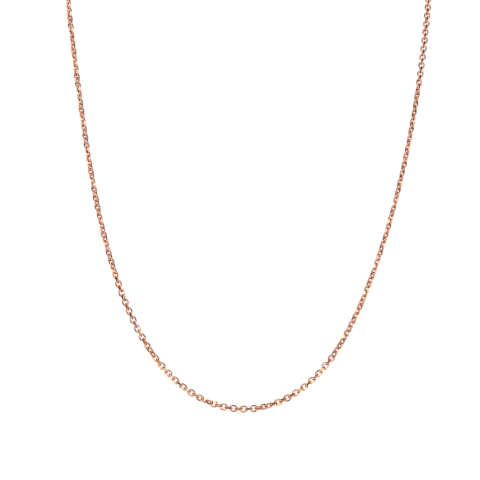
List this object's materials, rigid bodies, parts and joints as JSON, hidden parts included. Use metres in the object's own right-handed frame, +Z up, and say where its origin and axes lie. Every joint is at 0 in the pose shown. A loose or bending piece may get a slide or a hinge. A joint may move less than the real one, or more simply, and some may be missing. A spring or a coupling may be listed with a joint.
{
  "type": "chain necklace",
  "caption": "Rose-gold diamond-cut cable chain necklace laid open, with a spring-ring clasp at one end and a flat tag with a hole at the other.",
  "frame": {"origin": "middle of the bounding box, on the table that the necklace lies on", "axes": "+Y from the front of the necklace up to its clasp, +X to the right as it is looked down on, +Z up from the table"},
  "size_m": [0.114, 0.1771, 0.0019],
  "materials": {
    "rose_gold": "polished rose gold, diamond-cut facets",
    "clasp_gold": "polished rose gold",
    "spring_steel": "drawn wire"
  },
  "bodies": {
    "front_section": {"front_section": "rose_gold"},
    "clasp_side_01": {"clasp_side_01": "rose_gold"},
    "clasp_side_02": {"clasp_side_02": "rose_gold"},
    "clasp_side_03": {"clasp_side_03": "rose_gold"},
    "clasp_side_04": {"clasp_side_04": "rose_gold"},
    "clasp_side_05": {"clasp_side_05": "rose_gold"},
    "clasp_side_06": {"clasp_side_06": "rose_gold"},
    "clasp_side_07": {"clasp_side_07": "rose_gold"},
    "clasp_side_08": {"clasp_side_08": "rose_gold"},
    "clasp_side_09": {"clasp_side_09": "rose_gold"},
    "clasp_side_10": {"clasp_side_10": "rose_gold"},
    "clasp_side_11": {"clasp_side_11": "rose_gold"},
    "clasp_side_12": {"clasp_side_12": "rose_gold"},
    "clasp_side_13": {"clasp_side_13": "rose_gold"},
    "clasp_side_14": {"clasp_side_14": "rose_gold"},
    "clasp_side_15": {"clasp_side_15": "rose_gold"},
    "clasp_side_16": {"clasp_side_16": "rose_gold"},
    "clasp_side_17": {"clasp_side_17": "rose_gold"},
    "clasp_side_18": {"clasp_side_18": "rose_gold"},
    "clasp_side_19": {"clasp_side_19": "rose_gold"},
    "clasp_side_20": {"clasp_side_20": "rose_gold"},
    "clasp_side_21": {"clasp_side_21": "rose_gold"},
    "clasp_side_22": {"clasp_side_22": "rose_gold"},
    "tag_side_01": {"tag_side_01": "rose_gold"},
    "tag_side_02": {"tag_side_02": "rose_gold"},
    "tag_side_03": {"tag_side_03": "rose_gold"},
    "tag_side_04": {"tag_side_04": "rose_gold"},
    "tag_side_05": {"tag_side_05": "rose_gold"},
    "tag_side_06": {"tag_side_06": "rose_gold"},
    "tag_side_07": {"tag_side_07": "rose_gold"},
    "tag_side_08": {"tag_side_08": "rose_gold"},
    "tag_side_09": {"tag_side_09": "rose_gold"},
    "tag_side_10": {"tag_side_10": "rose_gold"},
    "tag_side_11": {"tag_side_11": "rose_gold"},
    "tag_side_12": {"tag_side_12": "rose_gold"},
    "tag_side_13": {"tag_side_13": "rose_gold"},
    "tag_side_14": {"tag_side_14": "rose_gold"},
    "tag_side_15": {"tag_side_15": "rose_gold"},
    "tag_side_16": {"tag_side_16": "rose_gold"},
    "tag_side_17": {"tag_side_17": "rose_gold"},
    "tag_side_18": {"tag_side_18": "rose_gold"},
    "tag_side_19": {"tag_side_19": "rose_gold"},
    "tag_side_20": {"tag_side_20": "rose_gold"},
    "tag_side_21": {"tag_side_21": "rose_gold"},
    "tag_side_22": {"tag_side_22": "rose_gold"},
    "jump_ring": {"jump_ring": "rose_gold"},
    "clasp": {"clasp_ring": "clasp_gold", "clasp_spring": "spring_steel"},
    "bolt": {"clasp_bolt": "clasp_gold", "clasp_knob": "clasp_gold"},
    "end_tag": {"end_tag": "rose_gold"}
  },
  "joints": [
    {"name": "clasp_side_01_bend", "type": "hinge", "parent": "front_section", "child": "clasp_side_01", "pos_m": [0.00321, -0.08718, 0.00082], "axis": [0.1438, -0.8035, -0.5777], "range_deg": [-35, 35]},
    {"name": "clasp_side_02_bend", "type": "hinge", "parent": "clasp_side_01", "child": "clasp_side_02", "pos_m": [0.01231, -0.08369, 0.00092], "axis": [0.5244, -0.8298, 0.1908], "range_deg": [-35, 35]},
    {"name": "clasp_side_03_bend", "type": "hinge", "parent": "clasp_side_02", "child": "clasp_side_03", "pos_m": [0.02022, -0.07717, 0.00092], "axis": [-0.7039, 0.6842, -0.1908], "range_deg": [-35, 35]},
    {"name": "clasp_side_04_bend", "type": "hinge", "parent": "clasp_side_03", "child": "clasp_side_04", "pos_m": [0.0261, -0.06936, 0.00066], "axis": [-0.592, 0.3867, 0.7071], "range_deg": [-35, 35]},
    {"name": "clasp_side_05_bend", "type": "hinge", "parent": "clasp_side_04", "child": "clasp_side_05", "pos_m": [0.03083, -0.06078, 0.00066], "axis": [0.6326, -0.3159, 0.7071], "range_deg": [-35, 35]},
    {"name": "clasp_side_06_bend", "type": "hinge", "parent": "clasp_side_05", "child": "clasp_side_06", "pos_m": [0.03481, -0.05183, 0.00066], "axis": [0.6529, -0.2714, -0.7071], "range_deg": [-35, 35]},
    {"name": "clasp_side_07_bend", "type": "hinge", "parent": "clasp_side_06", "child": "clasp_side_07", "pos_m": [0.03831, -0.04268, 0.00066], "axis": [-0.6647, 0.2411, -0.7071], "range_deg": [-35, 35]},
    {"name": "clasp_side_08_bend", "type": "hinge", "parent": "clasp_side_07", "child": "clasp_side_08", "pos_m": [0.04145, -0.03339, 0.00066], "axis": [-0.6733, 0.216, 0.7071], "range_deg": [-35, 35]},
    {"name": "clasp_side_09_bend", "type": "hinge", "parent": "clasp_side_08", "child": "clasp_side_09", "pos_m": [0.04423, -0.024, 0.00066], "axis": [0.6805, -0.192, 0.7071], "range_deg": [-35, 35]},
    {"name": "clasp_side_10_bend", "type": "hinge", "parent": "clasp_side_09", "child": "clasp_side_10", "pos_m": [0.04673, -0.01452, 0.00066], "axis": [0.6858, -0.1722, -0.7071], "range_deg": [-35, 35]},
    {"name": "clasp_side_11_bend", "type": "hinge", "parent": "clasp_side_10", "child": "clasp_side_11", "pos_m": [0.04896, -0.00498, 0.00066], "axis": [-0.6903, 0.1532, -0.7071], "range_deg": [-35, 35]},
    {"name": "clasp_side_12_bend", "type": "hinge", "parent": "clasp_side_11", "child": "clasp_side_12", "pos_m": [0.05095, 0.00462, 0.00066], "axis": [-0.6935, 0.1378, 0.7071], "range_deg": [-35, 35]},
    {"name": "clasp_side_13_bend", "type": "hinge", "parent": "clasp_side_12", "child": "clasp_side_13", "pos_m": [0.05265, 0.01377, 0.00094], "axis": [0.9854, -0.1703, 0], "range_deg": [-35, 35]},
    {"name": "clasp_side_14_bend", "type": "hinge", "parent": "clasp_side_13", "child": "clasp_side_14", "pos_m": [0.05431, 0.02392, 0.00094], "axis": [0.9883, -0.1526, 0], "range_deg": [-35, 35]},
    {"name": "clasp_side_15_bend", "type": "hinge", "parent": "clasp_side_14", "child": "clasp_side_15", "pos_m": [0.05563, 0.03314, 0.00094], "axis": [-0.9933, 0.116, 0], "range_deg": [-35, 35]},
    {"name": "clasp_side_16_bend", "type": "hinge", "parent": "clasp_side_15", "child": "clasp_side_16", "pos_m": [0.05604, 0.0434, 0.00094], "axis": [-0.9993, -0.0377, 0], "range_deg": [-35, 35]},
    {"name": "clasp_side_17_bend", "type": "hinge", "parent": "clasp_side_16", "child": "clasp_side_17", "pos_m": [0.0546, 0.05259, 0.00094], "axis": [0.9622, 0.2723, 0], "range_deg": [-35, 35]},
    {"name": "clasp_side_18_bend", "type": "hinge", "parent": "clasp_side_17", "child": "clasp_side_18", "pos_m": [0.05086, 0.06215, 0.00094], "axis": [0.8901, 0.4559, 0], "range_deg": [-35, 35]},
    {"name": "clasp_side_19_bend", "type": "hinge", "parent": "clasp_side_18", "child": "clasp_side_19", "pos_m": [0.04553, 0.06977, 0.00094], "axis": [-0.7353, -0.6777, 0], "range_deg": [-35, 35]},
    {"name": "clasp_side_20_bend", "type": "hinge", "parent": "clasp_side_19", "child": "clasp_side_20", "pos_m": [0.03788, 0.0766, 0.00094], "axis": [-0.5897, -0.8076, 0], "range_deg": [-35, 35]},
    {"name": "clasp_side_21_bend", "type": "hinge", "parent": "clasp_side_20", "child": "clasp_side_21", "pos_m": [0.02973, 0.0811, 0.00094], "axis": [0.3759, 0.9267, 0], "range_deg": [-35, 35]},
    {"name": "clasp_side_22_bend", "type": "hinge", "parent": "clasp_side_21", "child": "clasp_side_22", "pos_m": [0.01992, 0.08411, 0.00094], "axis": [0.2094, 0.9778, 0], "range_deg": [-35, 35]},
    {"name": "tag_side_01_bend", "type": "hinge", "parent": "front_section", "child": "tag_side_01", "pos_m": [-0.00606, -0.08717, 0.00092], "axis": [-0.2141, -0.958, -0.1908], "range_deg": [-35, 35]},
    {"name": "tag_side_02_bend", "type": "hinge", "parent": "tag_side_01", "child": "tag_side_02", "pos_m": [-0.01515, -0.08367, 0.00092], "axis": [-0.5242, -0.83, 0.1908], "range_deg": [-35, 35]},
    {"name": "tag_side_03_bend", "type": "hinge", "parent": "tag_side_02", "child": "tag_side_03", "pos_m": [-0.02308, -0.07717, 0.00092], "axis": [0.6997, 0.6885, -0.1908], "range_deg": [-35, 35]},
    {"name": "tag_side_04_bend", "type": "hinge", "parent": "tag_side_03", "child": "tag_side_04", "pos_m": [-0.02903, -0.06942, 0.00089], "axis": [0.7429, 0.4422, 0.5025], "range_deg": [-35, 35]},
    {"name": "tag_side_05_bend", "type": "hinge", "parent": "tag_side_04", "child": "tag_side_05", "pos_m": [-0.03354, -0.06127, 0.00092], "axis": [-0.8884, -0.4175, -0.1908], "range_deg": [-35, 35]},
    {"name": "tag_side_06_bend", "type": "hinge", "parent": "tag_side_05", "child": "tag_side_06", "pos_m": [-0.03752, -0.0518, 0.00092], "axis": [-0.9177, -0.3483, -0.1908], "range_deg": [-35, 35]},
    {"name": "tag_side_07_bend", "type": "hinge", "parent": "tag_side_06", "child": "tag_side_07", "pos_m": [-0.04065, -0.04252, 0.00066], "axis": [0.6748, 0.2112, -0.7071], "range_deg": [-35, 35]},
    {"name": "tag_side_08_bend", "type": "hinge", "parent": "tag_side_07", "child": "tag_side_08", "pos_m": [-0.04331, -0.03309, 0.00066], "axis": [0.684, 0.1792, 0.7071], "range_deg": [-35, 35]},
    {"name": "tag_side_09_bend", "type": "hinge", "parent": "tag_side_08", "child": "tag_side_09", "pos_m": [-0.04554, -0.02355, 0.00066], "axis": [-0.6906, -0.1517, 0.7071], "range_deg": [-35, 35]},
    {"name": "tag_side_10_bend", "type": "hinge", "parent": "tag_side_09", "child": "tag_side_10", "pos_m": [-0.04753, -0.01395, 0.00066], "axis": [-0.6936, -0.1375, -0.7071], "range_deg": [-35, 35]},
    {"name": "tag_side_11_bend", "type": "hinge", "parent": "tag_side_10", "child": "tag_side_11", "pos_m": [-0.04932, -0.00432, 0.00066], "axis": [0.6959, 0.1254, -0.7071], "range_deg": [-35, 35]},
    {"name": "tag_side_12_bend", "type": "hinge", "parent": "tag_side_11", "child": "tag_side_12", "pos_m": [-0.05102, 0.00533, 0.00066], "axis": [0.6967, 0.1206, 0.7071], "range_deg": [-35, 35]},
    {"name": "tag_side_13_bend", "type": "hinge", "parent": "tag_side_12", "child": "tag_side_13", "pos_m": [-0.05265, 0.015, 0.00066], "axis": [-0.6977, -0.1152, 0.7071], "range_deg": [-35, 35]},
    {"name": "tag_side_14_bend", "type": "hinge", "parent": "tag_side_13", "child": "tag_side_14", "pos_m": [-0.05418, 0.02468, 0.00066], "axis": [-0.699, -0.1071, -0.7071], "range_deg": [-35, 35]},
    {"name": "tag_side_15_bend", "type": "hinge", "parent": "tag_side_14", "child": "tag_side_15", "pos_m": [-0.05559, 0.03438, 0.00066], "axis": [0.7002, 0.0983, -0.7071], "range_deg": [-35, 35]},
    {"name": "tag_side_16_bend", "type": "hinge", "parent": "tag_side_15", "child": "tag_side_16", "pos_m": [-0.05607, 0.04414, 0.00094], "axis": [0.9998, -0.0209, 0], "range_deg": [-35, 35]},
    {"name": "tag_side_17_bend", "type": "hinge", "parent": "tag_side_16", "child": "tag_side_17", "pos_m": [-0.0548, 0.05336, 0.00094], "axis": [-0.9668, 0.2554, 0], "range_deg": [-35, 35]},
    {"name": "tag_side_18_bend", "type": "hinge", "parent": "tag_side_17", "child": "tag_side_18", "pos_m": [-0.05123, 0.06298, 0.00094], "axis": [-0.8979, 0.4403, 0], "range_deg": [-35, 35]},
    {"name": "tag_side_19_bend", "type": "hinge", "parent": "tag_side_18", "child": "tag_side_19", "pos_m": [-0.04603, 0.0707, 0.00094], "axis": [0.747, -0.6648, 0], "range_deg": [-35, 35]},
    {"name": "tag_side_20_bend", "type": "hinge", "parent": "tag_side_19", "child": "tag_side_20", "pos_m": [-0.0385, 0.07766, 0.00094], "axis": [0.6037, -0.7972, 0], "range_deg": [-35, 35]},
    {"name": "tag_side_21_bend", "type": "hinge", "parent": "tag_side_20", "child": "tag_side_21", "pos_m": [-0.03042, 0.08228, 0.00094], "axis": [-0.3849, 0.9229, 0], "range_deg": [-35, 35]},
    {"name": "tag_side_22_bend", "type": "hinge", "parent": "tag_side_21", "child": "tag_side_22", "pos_m": [-0.02063, 0.08533, 0.00094], "axis": [-0.2098, 0.9777, 0], "range_deg": [-35, 35]},
    {"name": "jump_ring_swing", "type": "hinge", "parent": "clasp_side_22", "child": "jump_ring", "pos_m": [0.01067, 0.08519, 0.00094], "axis": [-0.0581, -0.9983, 0], "range_deg": [-45, 45]},
    {"name": "clasp_swing", "type": "hinge", "parent": "jump_ring", "child": "clasp", "pos_m": [0.00884, 0.08529, 0.0007], "axis": [0, 0, 1], "range_deg": [-45, 45]},
    {"name": "bolt_slide_round", "type": "hinge", "parent": "clasp", "child": "bolt", "pos_m": [0.00485, 0.08552, 0.0007], "axis": [0, 0, 1], "range_deg": [0, 70], "stiffness_Nm_per_rad": 0.002, "springref_deg": -34.38, "deforming": ["clasp_spring"]},
    {"name": "end_tag_swing", "type": "hinge", "parent": "tag_side_22", "child": "end_tag", "pos_m": [-0.01152, 0.0864, 0.00094], "axis": [-0.0581, 0.9983, 0], "range_deg": [-45, 45]}
  ]
}
